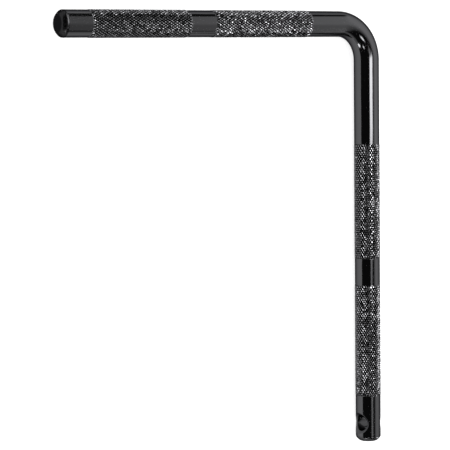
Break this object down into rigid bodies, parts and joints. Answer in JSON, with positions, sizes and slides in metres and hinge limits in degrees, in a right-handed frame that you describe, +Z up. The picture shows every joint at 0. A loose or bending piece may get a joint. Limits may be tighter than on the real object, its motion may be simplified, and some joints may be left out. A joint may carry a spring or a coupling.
{
  "type": "breaker bar",
  "caption": "Solid round steel handle bar bent through a right angle, with diamond-knurled grip bands, chamfered ends and a cross hole near the end of its long arm.",
  "frame": {"origin": "centre of the bar's bounding box on the surface that its knurled bands rest on", "axes": "+X along the long arm from the bend to the end with the cross hole, -Y along the short arm from the bend to its free end, +Z up, square to both arms"},
  "size_m": [0.3526, 0.2946, 0.0211],
  "materials": {
    "black_chrome": "black chrome plating, polished on the plain lengths and worn bright on the crests of the knurl"
  },
  "bodies": {
    "root": {"bent_bar": "black_chrome"}
  },
  "joints": []
}
